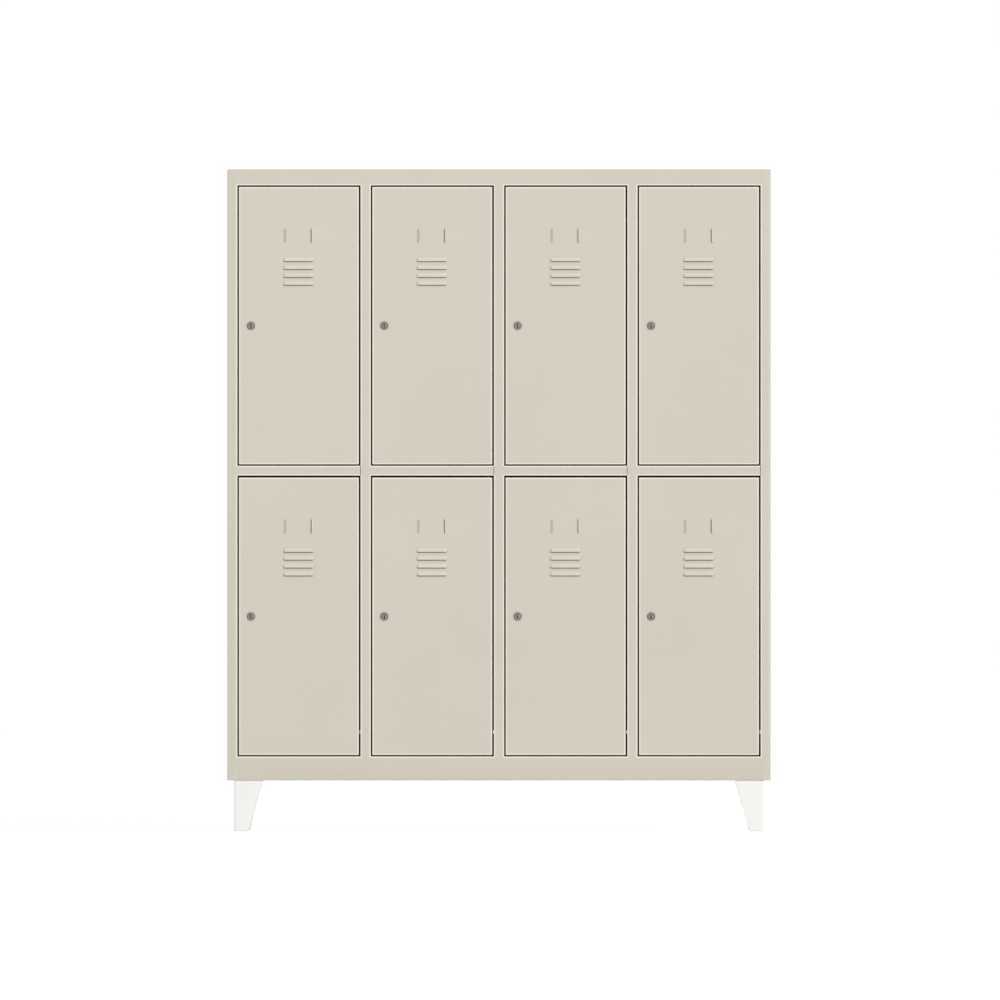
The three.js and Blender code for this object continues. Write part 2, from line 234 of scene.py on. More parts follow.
def turned(shape, profile, place, count=32):
    """A turned body: profile is a list of (radius, distance), and place maps (u, v, distance)."""
    loops = [circle(r, count, lambda u, v, d=d: place(u, v, d)) for r, d in profile]
    shape.loft(loops)


def spans(ranges, low, high):
    """Stations from low to high with the rim, a painted edge highlight, only inside the ranges."""
    stations = [(low, 0.0)]
    for a, b in ranges:
        stations += [(a - FADE, 0.0), (a - RIM, 1.0), (b + RIM, 1.0), (b + FADE, 0.0)]
    stations.append((high, 0.0))
    return [s for s in stations if low <= s[0] <= high]


# ------------------------------------------------------------------ materials


def nodes_of(name):
    material = bpy.data.materials.new(name)
    material.use_nodes = True
    tree = material.node_tree
    return material, tree, tree.nodes["Principled BSDF"]


def add(tree, kind, **inputs):
    node = tree.nodes.new(kind)
    for key, value in inputs.items():
        if hasattr(node, key):
            setattr(node, key, value)
        else:
            node.inputs[key.replace("_", " ")].default_value = value
    return node


def noise(tree, coordinates, scale, detail=2.0, roughness=0.5):
    node = add(tree, "ShaderNodeTexNoise", Scale=scale, Detail=detail, Roughness=roughness)
    tree.links.new(coordinates, node.inputs["Vector"])
    return node.outputs["Fac"]


def ramp(tree, source, stops):
    """A smooth ramp from position and colour stops."""
    node = tree.nodes.new("ShaderNodeValToRGB")
    elements = node.color_ramp.elements
    while len(elements) < len(stops):
        elements.new(0.5)
    for element, (position, colour) in zip(elements, stops):
        element.position = position
        element.color = (*colour, 1.0)
    tree.links.new(source, node.inputs["Fac"])
    return node.outputs["Color"]


def mix(tree, factor, a, b):
    node = tree.nodes.new("ShaderNodeMix")
    node.data_type = "RGBA"
    for socket, value in ((0, factor), (6, a), (7, b)):
        if isinstance(value, bpy.types.NodeSocket):
            tree.links.new(value, node.inputs[socket])
        else:
            node.inputs[socket].default_value = value if socket == 0 else (*value, 1.0)
    return node.outputs[2]


def scaled(tree, source, gain, offset=0.0):
    node = add(tree, "ShaderNodeMath", operation="MULTIPLY_ADD")
    node.inputs[1].default_value = gain
    node.inputs[2].default_value = offset
    tree.links.new(source, node.inputs[0])
    return node.outputs[0]


def tinted(colour, gain):
    return tuple(min(1.0, c * gain) for c in colour)


def crevices(tree, reach):
    """1 on open surfaces, falling to 0 in gaps and slots narrower than the reach; the mask for painted
    shade.
    """
    node = tree.nodes.new("ShaderNodeAmbientOcclusion")
    node.samples = 6
    node.inputs["Distance"].default_value = reach
    share = add(tree, "ShaderNodeMath", operation="MULTIPLY_ADD", use_clamp=True)
    share.inputs[1].default_value = 2.4
    share.inputs[2].default_value = -1.25
    tree.links.new(node.outputs["AO"], share.inputs[0])
    return share.outputs[0]


def powder_coat(name, colour, rim, rough, peel, deep_shade, half_shade):
    """Powder-coated steel: faint clouding, orange peel, a painted highlight along the folds, and painted
    shade in crevices that darkens through a warm half-shade to near black."""
    material, tree, bsdf = nodes_of(name)
    where = tree.nodes.new("ShaderNodeTexCoord").outputs["Object"]
    clouds = noise(tree, where, 2.3, 3.0)
    grain = noise(tree, where, 900.0, 2.0)
    base = ramp(tree, clouds, [(0.3, tinted(colour, 0.985)), (0.7, tinted(colour, 1.012))])
    specks = scaled(tree, grain, 0.05, -0.01)
    base = mix(tree, specks, base, tinted(colour, 0.7))
    edge = tree.nodes.new("ShaderNodeAttribute")
    edge.attribute_name = "rim"
    patch_noise = noise(tree, where, 14.0, 4.0)
    highlight_share = add(tree, "ShaderNodeMath", operation="MULTIPLY")
    tree.links.new(edge.outputs["Fac"], highlight_share.inputs[0])
    tree.links.new(scaled(tree, patch_noise, 0.4, 0.8), highlight_share.inputs[1])
    # painted highlight: the rim attribute mixes in the lighter edge colour, made patchy by the noise
    base = mix(tree, highlight_share.outputs[0], base, rim)
    # painted shade: crevices darken through a warm half-shade to a near-black colour
    opened = crevices(tree, 0.007)
    base = mix(tree, opened, deep_shade, mix(tree, opened, half_shade, base))
    tree.links.new(base, bsdf.inputs["Base Color"])
    tree.links.new(scaled(tree, patch_noise, 0.14, rough - 0.07), bsdf.inputs["Roughness"])
    # the painted shade also takes the reflection out of crevices
    tree.links.new(scaled(tree, opened, 0.4), bsdf.inputs["Specular IOR Level"])
    bump = tree.nodes.new("ShaderNodeBump")
    bump.inputs["Strength"].default_value = peel
    bump.inputs["Distance"].default_value = 0.0002
    tree.links.new(noise(tree, where, 420.0, 2.0), bump.inputs["Height"])
    tree.links.new(bump.outputs["Normal"], bsdf.inputs["Normal"])
    return material


def plated(name, colour, rough, streak, metal=1.0, scale=(1.0, 1.0, 1.0)):
    """Plated metal: brushed streaks stretched along one axis, tarnish, and painted shade in slots and
    grooves.
    """
    material, tree, bsdf = nodes_of(name)
    where = tree.nodes.new("ShaderNodeTexCoord").outputs["Object"]
    mapping = tree.nodes.new("ShaderNodeMapping")
    mapping.inputs["Scale"].default_value = scale
    tree.links.new(where, mapping.inputs["Vector"])
    lines = noise(tree, mapping.outputs["Vector"], 600.0, 3.0)
    tarnish = noise(tree, where, 45.0, 4.0)
    base = ramp(tree, tarnish, [(0.3, tinted(colour, 0.9)), (0.7, tinted(colour, 1.05))])
    # painted shade: slots and grooves, such as the keyway, darken to near black
    base = mix(tree, crevices(tree, 0.006), tinted(colour, 0.08), base)
    tree.links.new(base, bsdf.inputs["Base Color"])
    bsdf.inputs["Metallic"].default_value = metal
    tree.links.new(scaled(tree, lines, streak, rough - streak / 2), bsdf.inputs["Roughness"])
    bump = tree.nodes.new("ShaderNodeBump")
    bump.inputs["Strength"].default_value = 0.25
    bump.inputs["Distance"].default_value = 0.0001
    tree.links.new(lines, bump.inputs["Height"])
    tree.links.new(bump.outputs["Normal"], bsdf.inputs["Normal"])
    return material


PAINT = (0.668, 0.622, 0.533)
DOOR_PAINT = (0.68, 0.627, 0.539)
# colour of the painted highlight beside folded edges
EDGE_HIGHLIGHT = (0.9, 0.86, 0.765)
WHITE = (0.95, 0.943, 0.912)
# painted shade colours for crevices: near black at the deepest, a warm half-shade between
GAP_SHADE = (0.07, 0.05, 0.024)
GAP_HALF_SHADE = (0.55, 0.43, 0.18)
body_paint = powder_coat("body_paint", PAINT, EDGE_HIGHLIGHT, 0.46, 0.25, GAP_SHADE, GAP_HALF_SHADE)
door_paint = powder_coat("door_paint", DOOR_PAINT, EDGE_HIGHLIGHT, 0.46, 0.25, GAP_SHADE, GAP_HALF_SHADE)
# the legs' painted crevice shade is a slightly darker white
leg_paint = powder_coat("leg_paint", WHITE, WHITE, 0.4, 0.2, tinted(WHITE, 0.85), WHITE)
zinc = plated("zinc_plate", (0.6, 0.6, 0.59), 0.38, 0.2, 1.0, (0.2, 1.0, 1.0))
nickel = plated("nickel_plate", (0.29, 0.29, 0.282), 0.62, 0.1, 0.4)
nickel_face = plated("lock_plug", (0.42, 0.42, 0.41), 0.6, 0.1, 0.4)


# ------------------------------------------------------------------ carcass

TOP_FLANGE = TOP - BEND - SHEET
TIER_SPANS = [(FLOOR, SHELF_UNDER), (SHELF_FLOOR, HEADER_UNDER)]
COLUMN_SPANS = list(zip(OPEN_LEFT, OPEN_RIGHT))


def side_panel(side, name):
    """Side sheet folded round into the front stile; side is -1 for the left panel, 1 for the right."""
    path = [
        (LEFT + WELD, BACK_FACE),
        (LEFT, BACK_FACE),
        (LEFT, FRONT),
        (LEFT + STILE, FRONT),
        (LEFT + STILE, FRAME_BACK),
        (LEFT + STILE - HEM, FRAME_BACK),
    ]
    shape = Shape()
    faces = fold(path, edges=(3,))
    shape.strip(faces, lambda u, v, z: (-side * u, v, z), spans(TIER_SPANS, BOTTOM, TOP_FLANGE))
    if side < 0:
        door_stops(shape, OPEN_LEFT[0])
    return shape.piece(name, CABINET, body_paint, [name])


def door_stops(shape, x):
    """Strips for the lock cams to turn behind, one for each tier, standing right of x."""
    y = FRONT + 22.5
    faces = fold([(x - SHEET / 2, y), (x + HEM, y)])
    for low, high in TIER_SPANS:
        shape.strip(faces, along_z, [(low + 0.5, 1.0), (high - 0.5, 1.0)])


side_panel(-1, "left_side_panel")
side_panel(1, "right_side_panel")


ROUND_HALF = 12.0  # half the side of the square of grid round a hole


def round_lines(centre):
    """Grid lines that meet a square round the centre at even angles."""
    return [centre + ROUND_HALF * math.tan(math.pi / 4 * k / 6) for k in range(-6, 7)]


def near(lines, value):
    return min(range(len(lines)), key=lambda i: abs(lines[i] - value))


def outline_of(i0, i1, j0, j1):
    """The grid points round a block, in order."""
    points = [(i, j0) for i in range(i0, i1)] + [(i1, j) for j in range(j0, j1)]
    return points + [(i, j1) for i in range(i1, i0, -1)] + [(i0, j) for j in range(j1, j0, -1)]


def pan(shape, xs, zs, profile, place, raised=None, hole=None):
    """A folded pan's outer skin: a flat of xs by zs, then rings of (inset, depth, rim) round its edge.

    Insets are from the pan's outline, which is BEND outside the flat. raised gives a vertex's height
    above the flat, and the slits where the sheet is torn. hole is (x, z, radius), with the grid lines
    of round_lines about it.
    """
    heights, slits = raised or (lambda x, z: 0.0, [])
    last_x, last_z = len(xs) - 1, len(zs) - 1
    grid = {}

    def corner(i, j, cell):
        x, z = xs[i], zs[j]
        for number, slit in enumerate(slits):
            if slit.on_line(x, z):
                up = slit.covers(cell)
                key = (i, j, number if up else None)
                if key not in grid:
                    lift = slit.height(x, z) if up else 0.0
                    grid[key] = shape.vert(place(x, z, -lift))
                return grid[key]
        if (i, j) not in grid:
            # the flat's two outermost grid lines on each side carry the painted edge highlight
            edge = len(xs) > 4 and (i in (0, 1, last_x - 1, last_x) or j in (0, 1, last_z - 1, last_z))
            grid[i, j] = shape.vert(place(x, z, -heights(x, z)), 1.0 if edge else 0.0)
        return grid[i, j]

    for i in range(len(xs) - 1):
        for j in range(len(zs) - 1):
            cell = ((xs[i] + xs[i + 1]) / 2, (zs[j] + zs[j + 1]) / 2)
            if hole and abs(cell[0] - hole[0]) < ROUND_HALF and abs(cell[1] - hole[1]) < ROUND_HALF:
                continue
            corners = ((i, j), (i + 1, j), (i + 1, j + 1), (i, j + 1))
            shape.faces.append(tuple(corner(a, b, cell) for a, b in corners))
    if hole:
        x, z, radius = hole
        ends = [[near(line, c + s * ROUND_HALF) for s in (-1, 1)] for line, c in ((xs, x), (zs, z))]
        square = outline_of(*ends[0], *ends[1])
        rim = []
        for i, j in square:
            off = Vector((xs[i] - x, zs[j] - z)).normalized() * radius
            rim.append(shape.vert(place(x + off.x, z + off.y, 0.0)))
        shape.bridge([grid[key] for key in square], rim)
    border = outline_of(0, last_x, 0, last_z)
    previous = [grid[key] for key in border]
    for inset, depth, rim in profile:
        grow = BEND - inset
        ring = []
        for i, j in border:
            x = xs[i] + grow * ((i == last_x) - (i == 0))
            z = zs[j] + grow * ((j == last_z) - (j == 0))
            ring.append(shape.vert(place(x, z, depth), rim))
        shape.bridge(previous, ring)
        previous = ring


def bend_rings(depth, hem, steps=4):
    """Rings for a pan's front bend, its flange and its hem."""
    quarter = [math.pi / 2 * k / steps for k in range(1, steps + 1)]
    # the bend carries the painted edge highlight
    rings = [(BEND - BEND * math.sin(a), BEND - BEND * math.cos(a), 1.0) for a in quarter]
    rings.append((0.0, BEND + FADE, 0.0))
    if hem:
        rings.append((0.0, depth - BEND, 0.0))
        rings += [(BEND - BEND * math.cos(a), depth - BEND + BEND * math.sin(a), 0.0) for a in quarter]
        rings.append((hem, depth, 0.0))
    else:
        rings.append((0.0, depth, 0.0))
    return rings


def solidify(obj):
    """Gives an outer skin the sheet's thickness, inwards."""
    modifier = obj.modifiers.new("sheet", "SOLIDIFY")
    modifier.thickness = SHEET * MM
    modifier.offset = -1.0
    modifier.use_even_offset = False
    split = obj.modifiers.new("corners", "EDGE_SPLIT")
    split.split_angle = math.radians(38)


def bevel(obj, width, limit):
    modifier = obj.modifiers.new("edges", "BEVEL")
    modifier.width = width * MM
    modifier.segments = 2
    modifier.limit_method = "ANGLE"
    modifier.angle_limit = math.radians(limit)


def top_panel():
    shape = Shape()
    pan(
        shape,
        [LEFT + BEND, RIGHT - BEND],
        [FRONT + BEND, BACK - BEND],
        [(i, d, 0.0) for i, d, _ in bend_rings(TOP - TOP_FLANGE, 0.0) if d <= TOP - TOP_FLANGE],
        lambda x, y, depth: (x, y, TOP - depth),
    )
    sheet = shape.piece("top_sheet", CABINET, body_paint, outward=(0, 0, 1))
    solidify(sheet)
    header = Shape()
    path = [
        (FRONT, TOP_FLANGE),
        (FRONT, HEADER_UNDER),
        (FRAME_BACK, HEADER_UNDER),
        (FRAME_BACK, HEADER_UNDER + HEM),
    ]
    ends = (OPEN_LEFT[0] - BEND, OPEN_RIGHT[-1] + BEND)
    header.strip(fold(path, edges=(1,)), along_x, spans(COLUMN_SPANS, *ends))
    header.piece("top_panel", CABINET, body_paint, ["top_panel"])


top_panel()


def base_panel():
    shape = Shape()
    path = [
        (SHELF_BACK - RETURN, BOTTOM),
        (SHELF_BACK, BOTTOM),
        (SHELF_BACK, FLOOR),
        (FRONT, FLOOR),
        (FRONT, BOTTOM),
        (FRONT + RETURN, BOTTOM),
    ]
    ends = (OPEN_LEFT[0] - BEND, OPEN_RIGHT[-1] + BEND)
    shape.strip(fold(path, edges=(3,)), along_x, spans(COLUMN_SPANS, *ends))
    strip = fold([(SHELF_BACK, BOTTOM), (SHELF_BACK, FLOOR), (FRAME_BACK, FLOOR)])
    shape.strip(strip, along_x, [(LEFT + SHEET, 0.0), (ends[0], 0.0)])
    shape.strip(strip, along_x, [(ends[1], 0.0), (RIGHT - SHEET, 0.0)])
    shape.piece("base_panel", CABINET, body_paint, ["base_panel"])


base_panel()


def divider(number):
    x = POST_LEFT[number - 1]
    web = x + MULLION / 2 + SHEET / 2
    path = [
        (web - SHEET - 0.2, FRAME_BACK),
        (x, FRAME_BACK),
        (x, FRONT),
        (x + MULLION, FRONT),
        (x + MULLION, FRAME_BACK),
        (web, FRAME_BACK),
        (web, SHELF_BACK),
        (web - SHEET + WELD, SHELF_BACK),
    ]
    shape = Shape()
    stations = spans(TIER_SPANS, FLOOR - BEND, HEADER_UNDER + BEND)
    shape.strip(fold(path, edges=(2, 3)), along_z, stations)
    upper = fold([(web, FRAME_BACK + SHEET), (web, SHELF_BACK), (web - SHEET + WELD, SHELF_BACK)])
    shape.strip(upper, along_z, [(HEADER_UNDER + BEND, 0.0), (UNDER_TOP, 0.0)])
    door_stops(shape, x + MULLION)
    name = f"divider_{number}"
    shape.piece(name, CABINET, body_paint, [name])


for number in (1, 2, 3):
    divider(number)


def shelf(column):
    name = f"shelf_{column}"
    (low, _, _), (high, _, _) = box(name)
    left, right = OPEN_LEFT[column - 1], OPEN_RIGHT[column - 1]
    path = [
        (SHELF_BACK, SHELF_FLOOR - WELD),
        (SHELF_BACK, SHELF_FLOOR),
        (FRONT, SHELF_FLOOR),
        (FRONT, SHELF_UNDER),
        (FRAME_BACK, SHELF_UNDER),
        (FRAME_BACK, SHELF_UNDER + HEM),
    ]
    shape = Shape()
    rail = [(left - BEND, 0.0), (left, 1.0), (right - SEAM, 1.0)]
    shape.strip(fold(path, edges=(2, 3)), along_x, rail)
    strip = fold([(SHELF_BACK, SHELF_FLOOR - WELD), (SHELF_BACK, SHELF_FLOOR), (FRAME_BACK, SHELF_FLOOR)])
    shape.strip(strip, along_x, [(low, 0.0), (left - BEND, 0.0)])
    shape.strip(strip, along_x, [(right - SEAM, 0.0), (high, 0.0)])
    shape.piece(name, CABINET, body_paint, [name])


for column in COLUMNS:
    shelf(column)


# ------------------------------------------------------------------ doors


GUARD = 0.8  # flat kept round a pressing, so that its shading stays its own


class Hood:
    """A pressed hood over a slit. Along the slit it runs half each way from centre; it rises from line,
    on the side that sign points to, and upright tells a name-card lip from a louvre."""

    def __init__(self, centre, line, sign, upright, half, reach, proud, lean, ends, dome):
        self.centre, self.line, self.sign, self.upright = centre, line, sign, upright
        self.half, self.reach, self.proud, self.lean, self.ends = half, reach, proud, lean, ends
        self.dome = dome

    def local(self, x, z):
        u, v = (z, x) if self.upright else (x, z)
        return u - self.centre, (v - self.line) * self.sign

    def height(self, x, z):
        u, v = self.local(x, z)
        if v < -1e-6 or v > self.reach:
            return 0.0
        share = max(0.0, v / self.reach)
        inside = (self.half - self.lean * share**2 - abs(u)) / self.ends
        if inside <= 0:
            return 0.0
        crest = math.sin(math.pi / 2 * min(1.0, inside))
        return self.proud * crest**0.8 * (1 - share**self.dome)

    def on_line(self, x, z):
        u, v = self.local(x, z)
        return abs(v) < 1e-6 and abs(u) < self.half - 1e-6

    def covers(self, cell):
        return self.local(*cell)[1] > 0

    def lines(self):
        """Grid lines along and across the slit."""
        across = [self.line + self.sign * self.reach * k / 8 for k in range(9)]
        across += [self.line - self.sign * GUARD, self.line + self.sign * (self.reach + GUARD)]
        width = self.ends + self.lean
        steps = [self.half - width * k / 8 for k in range(9)] + [self.half + GUARD]
        spread = [self.centre + s * step for step in steps for s in (-1, 1)]
        return (across, spread) if self.upright else (spread, across)


def thin(values, least=0.25):
    """Sorted grid lines without near-duplicates; values are (line, keep) and keep ones always stay."""
    kept = sorted({round(v, 4) for v, keep in values if keep})
    for v, keep in sorted(values):
        if not keep and all(abs(v - k) > least for k in kept):
            kept.append(v)
    return sorted(kept)


LOUVRES, LOUVRE_PITCH = 4, 23.2
LOUVRE_TOP = 219.9  # lip of the highest louvre below the door's top edge
LOUVRE = dict(half=44.0, reach=11.5, proud=3.0, lean=3.0, ends=5.0, dome=2.0)
CARD_TOP = 123.4  # top of the name-card lips below the door's top edge
CARD_LENGTH, CARD_WIDTH = 42.0, 79.0
CARD_LIP = dict(half=CARD_LENGTH / 2, lean=1.0, ends=4.0)
CARD_LIPS = {-1: dict(reach=4.2, proud=1.6, dome=1.0), 1: dict(reach=5.5, proud=3.1, dome=0.8)}
PRESSINGS = -1.5  # the pressings' middle from the door's
DOOR_DEPTH = 20.0
LOCK_HOLE = 9.8  # radius
CLEAR_X, CLEAR_Z = 1.2, 0.7  # the folded skin keeps this much inside the solid door


def door(tier, column):
    name = f"door_{tier}_{column}"
    (x0, _, z0), (x1, _, z1) = box(name)
    x0, z0, x1, z1 = x0 + CLEAR_X, z0 + CLEAR_Z, x1 - CLEAR_X, z1 - CLEAR_Z
    width, height = x1 - x0, z1 - z0
    middle = width / 2 + PRESSINGS
    top = height + CLEAR_Z
    hoods = [Hood(middle, top - LOUVRE_TOP - i * LOUVRE_PITCH, 1, False, **LOUVRE) for i in range(LOUVRES)]
    card = top - CARD_TOP - CARD_LENGTH / 2
    for side, lip in CARD_LIPS.items():
        hoods.append(Hood(card, middle + side * CARD_WIDTH / 2, side, True, **CARD_LIP, **lip))
    edges = (BEND, BEND + RIM, BEND + FADE)
    xs = [(v, True) for v in edges] + [(width - v, True) for v in edges]
    zs = [(v, True) for v in edges] + [(height - v, True) for v in edges]
    for hood in hoods:
        more_x, more_z = hood.lines()
        xs += [(v, hood.upright and k == 0) for k, v in enumerate(more_x)]
        zs += [(v, not hood.upright and k == 0) for k, v in enumerate(more_z)]
        ends = [hood.centre - hood.half, hood.centre + hood.half]
        (zs if hood.upright else xs).extend((v, True) for v in ends)
    (lx, _, lz), (hx, _, hz) = box(f"lock_housing_{tier}_{column}")
    hole = ((lx + hx) / 2 - x0, (lz + hz) / 2 - z0, LOCK_HOLE)
    xs += [(v, True) for v in round_lines(hole[0])]
    zs += [(v, True) for v in round_lines(hole[1])]
    xs, zs = thin(xs), thin(zs)

    def heights(x, z):
        return max(hood.height(x, z) for hood in hoods)

    def place(x, z, depth):
        return (x0 + x, FRONT + depth, z0 + z)

    shape = Shape()
    pan(shape, xs, zs, bend_rings(DOOR_DEPTH, HEM), place, (heights, hoods), hole)
    obj = shape.piece(name, name, door_paint, [name], outward=(0, -1, 0))
    solidify(obj)


for tier in TIERS:
    for column in COLUMNS:
        door(tier, column)


# ------------------------------------------------------------------ locks


LOCK_PROUD = 2.2  # the lock's face stands this far out of the door
HOUSING = [
    (6.7, 24.2), (9.5, 24.2), (9.5, 2.2), (11.0, 2.2), (11.0, 0.9), (10.7, 0.35), (10.1, 0.0),
    (8.3, 0.0), (7.9, 0.15), (7.5, 0.6), (6.7, 0.7),
]
CLAMP_NUT = [(9.7, 3.2), (12.4, 3.2), (13.0, 3.6), (13.0, 6.4), (12.4, 6.7), (9.7, 6.7)]
PLUG = [(5.7, 0.6), (6.1, 0.8), (6.2, 1.1), (6.2, 27.2), (3.4, 27.2), (3.4, 28.0)]
KEYWAY_HALF = (1.8, 4.8)
KEYWAY_FLOOR = 7.0
CAM_BACK = 25.4 + 2.5 + LOCK_PROUD


def keyway_angles():
    """Even angles round the plug, with the keyway's four corners among them."""
    corner = math.atan2(KEYWAY_HALF[1], KEYWAY_HALF[0])
    even = [2 * math.pi * (k + 0.5) / 48 for k in range(48)]
    return sorted(even + [corner, math.pi - corner, math.pi + corner, 2 * math.pi - corner])


def lock(tier, column):
    """Housing, plug and cam screw. Distances in their profiles run inwards from the lock's face."""
    tag = f"{tier}_{column}"
    (x0, _, z0), (x1, _, z1) = box(f"lock_plug_{tag}")
    x, z = (x0 + x1) / 2, (z0 + z1) / 2
    angles = keyway_angles()

    def place(u, v, d):
        return (x + u, FRONT - LOCK_PROUD + d, z + v)

    def slotted(size, d):
        half_w, half_h = KEYWAY_HALF
        reach = [size * min(half_w / abs(math.cos(a)), half_h / abs(math.sin(a))) for a in angles]
        return [place(r * math.cos(a), r * math.sin(a), d) for r, a in zip(reach, angles)]

    def rounded(radius, d):
        return [place(radius * math.cos(a), radius * math.sin(a), d) for a in angles]

    housing = Shape()
    housing.ring(HOUSING, place)
    housing.ring(CLAMP_NUT, place)
    name = f"lock_housing_{tag}"
    housing.piece(name, f"door_{tag}", nickel, [name])

    plug = Shape()
    slot = [slotted(1.0, KEYWAY_FLOOR), slotted(1.0, 0.9), slotted(1.06, 0.6)]
    plug.loft(slot + [rounded(*at) for at in PLUG])
    plug.piece(f"lock_plug_{tag}", f"lock_{tag}", nickel_face, [f"lock_plug_{tag}"])

    screw = Shape()
    washer = [(3.0, CAM_BACK - 0.1), (6.5, CAM_BACK - 0.1), (6.5, CAM_BACK + 0.7), (5.2, CAM_BACK + 0.75)]
    turned(screw, washer, place, 32)
    hexagon = [(5.2, CAM_BACK + 0.7), (5.2, CAM_BACK + 3.4), (4.6, CAM_BACK + 4.0)]
    turned(screw, hexagon, place, 6)
    screw.piece(f"cam_screw_{tag}", f"lock_{tag}", zinc)


for tier in TIERS:
    for column in COLUMNS:
        lock(tier, column)


# ------------------------------------------------------------------ rods and coat rails

ROD_RADIUS, ROD_CHAMFER = 3.0, 0.8
RAIL_END = [(7.8, 0.0), (15.4, 0.0), (16.0, 0.5), (15.6, 1.8), (10.4, 2.2), (9.3, 3.0), (9.0, 4.2)]


def hinge_rod(column):
    name = f"hinge_rod_{column}"
    (x0, y0, z0), (x1, y1, z1) = box(name)
    x, y = (x0 + x1) / 2, (y0 + y1) / 2
    tip = ROD_RADIUS - ROD_CHAMFER
    profile = [(tip, z0), (ROD_RADIUS, z0 + ROD_CHAMFER), (ROD_RADIUS, z1 - ROD_CHAMFER), (tip, z1)]
    rod = Shape()
    turned(rod, profile, lambda u, v, d: (x + u, y + v, d), 24)
    rod.piece(name, CABINET, zinc, [name])


def coat_rail(tier, column):
    """A tube with a rounded flange at each end."""
    name = f"coat_rail_{tier}_{column}"
    (x0, y0, z0), (x1, y1, z1) = box(name)
    y, z = (y0 + y1) / 2, (z0 + z1) / 2
    profile = [(r, x0 + d) for r, d in RAIL_END] + [(r, x1 - d) for r, d in reversed(RAIL_END)]
    rail = Shape()
    turned(rail, profile, lambda u, v, d: (d, y + u, z + v), 40)
    rail.piece(name, CABINET, zinc, [name])


for column in COLUMNS:
    hinge_rod(column)
for tier in TIERS:
    for column in COLUMNS:
        coat_rail(tier, column)


# ------------------------------------------------------------------ legs

LEG_TOP, LEG_FOOT, LEG_SHEET, LEG_BEND = 82.0, 41.0, 2.5, 2.6
BOLT_PLACES = ((58.0, 18.0), (18.0, 58.0))  # from the leg's corner


def leg(end, hand):
    name = f"leg_{end}_{hand}"
    (x0, y0, z0), (x1, y1, z1) = box(name)
    sx = 1 if hand == "left" else -1
    sy = 1 if end == "front" else -1
    corner = (x0 if sx > 0 else x1, y0 if sy > 0 else y1)

    def place(u, v, z):
        return (corner[0] + sx * u, corner[1] + sy * v, z)

    shape = Shape()
    rings = []
    for k in range(7):
        share = k / 6
        reach = LEG_FOOT + (LEG_TOP - LEG_FOOT) * share
        faces = fold([(0.0, reach), (0.0, 0.0), (reach, 0.0)], (), LEG_SHEET, LEG_BEND, 6)
        z = z0 + (z1 - z0) * share
        rings.append([[shape.vert(place(u, v, z)) for u, v, _ in face] for face in faces])
    shape.sheet(rings)
    for size, low, high in ((LEG_TOP, z1 - LEG_SHEET, z1), (LEG_FOOT, z0, z0 + LEG_SHEET)):
        inner, cut = LEG_SHEET + 0.1, size * 0.7
        outline = [
            (inner, inner), (size - 1, inner), (size, inner + 1), (size, cut),
            (cut, size), (inner + 1, size), (inner, size - 1),
        ]
        shape.loft([[place(u, v, z) for u, v in outline] for z in (low, high)])
    bevel(shape.piece(name, CABINET, leg_paint, [name]), 0.5, 50)
    bolts = Shape()
    base = z1 - LEG_SHEET
    washer = [(3.0, base), (7.5, base), (7.5, base - 1.2), (5.8, base - 1.25)]
    hexagon = [(5.8, base - 1.2), (5.8, base - 4.6), (5.0, base - 5.4)]
    for u, v in BOLT_PLACES:
        turned(bolts, washer, lambda p, q, d: place(u + p, v + q, d), 28)
        turned(bolts, hexagon, lambda p, q, d: place(u + p, v + q, d), 6)
    bolts.piece(f"leg_bolts_{end}_{hand}", CABINET, zinc)


for end in ("front", "rear"):
    for hand in ("left", "right"):
        leg(end, hand)


# ------------------------------------------------------------------ small details


RIVET_ROWS = 9
RIVET = [(3.4, -0.1), (3.2, 0.35), (2.4, 0.75), (1.2, 0.95), (0.2, 1.0)]
TAB_ABOVE_DOOR_FOOT, TAB_HALF = 69.0, 4.5


def back_rivets():
    """Domed rivets that hold the back panel to the side panels and partitions."""
    shape = Shape()
    dome = [(r, BACK + d) for r, d in RIVET]
    columns = [LEFT + 8, RIGHT - 8] + [x + MULLION / 2 + 7 for x in POST_LEFT]
    step = (UNDER_TOP - BOTTOM - 50) / (RIVET_ROWS - 1)
    for x in columns:
        for z in [BOTTOM + 25 + step * k for k in range(RIVET_ROWS)]:
            turned(shape, dome, lambda u, v, d: (x + u, d, z + v), 16)
    shape.piece("back_rivets", CABINET, zinc)


back_rivets()


def hinge_tabs():
    """A small welded tab on each lower hinge post, level with the door's lower hinge. It carries the
    painted edge highlight all over, so it shows lighter than the frame.
    """
    for column in COLUMNS:
        (_, _, z0), (x1, _, _) = box(f"door_lower_{column}")
        z = z0 + TAB_ABOVE_DOOR_FOOT
        right = OPEN_RIGHT[column - 1]
        shape = Shape()
        low, high = x1 + 0.9, right + 0.2
        bottom, top = z - TAB_HALF, z + TAB_HALF
        outline = [(low, bottom), (high, bottom), (high, top), (low, top)]
        # rim 1.0 on every vertex: the whole tab takes the painted highlight colour
        shape.loft([[(u, y, v) for u, v in outline] for y in (FRONT + 0.2, FRONT + 1.2)], [1.0, 1.0])
        shape.piece(f"hinge_tab_{column}", CABINET, body_paint)


hinge_tabs()


def shown(node, material):
    """A CAD node that stays in view, with the given material only."""
    obj = frame["nodes"][node]
    obj.data.materials.clear()
    obj.data.materials.append(material)
    return obj


shown("back_panel", body_paint)
for tier in TIERS:
    for column in COLUMNS:
        bevel(shown(f"lock_cam_{tier}_{column}", zinc), 0.3, 40)


# ------------------------------------------------------------------ stage, light and camera


